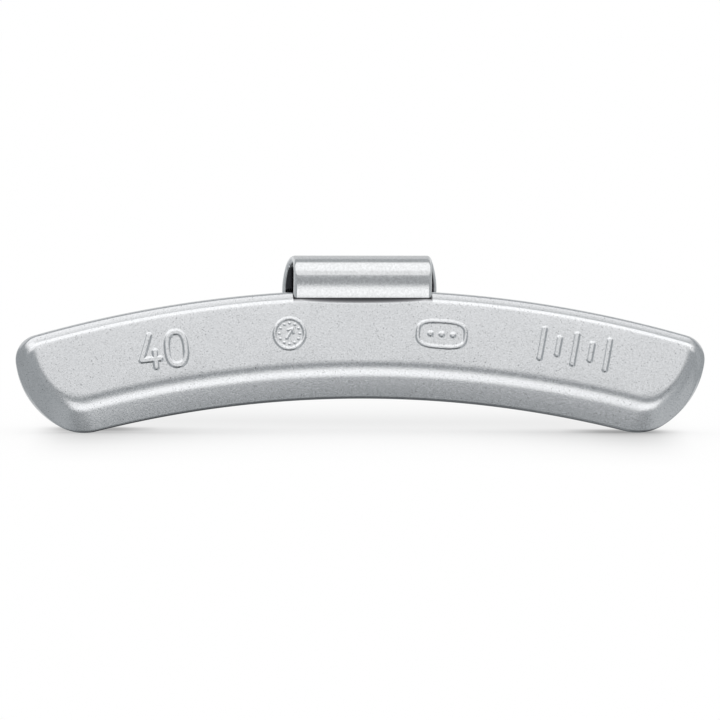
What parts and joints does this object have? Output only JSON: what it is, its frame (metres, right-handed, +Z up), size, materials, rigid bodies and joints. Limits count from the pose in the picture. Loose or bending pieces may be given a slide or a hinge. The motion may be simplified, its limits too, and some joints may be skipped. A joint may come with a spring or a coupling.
{
  "type": "wheel balance weight",
  "caption": "Curved die-cast zinc balance weight with a bevelled front face and a cast-in spring-steel clip that grips the edge of a steel wheel rim.",
  "frame": {"origin": "bottom centre of the bounding box, level with the lowest points of the two lower tips", "axes": "+X along the weight's length, -Y out of its front face, +Z up, away from the wheel's centre"},
  "size_m": [0.1034, 0.0066, 0.0264],
  "materials": {
    "zinc_body": "fine-grained silver coating, satin",
    "spring_clip": "bright coated spring steel, satin gloss"
  },
  "bodies": {
    "root": {"zinc_body": "zinc_body", "spring_clip": "spring_clip"}
  },
  "joints": []
}
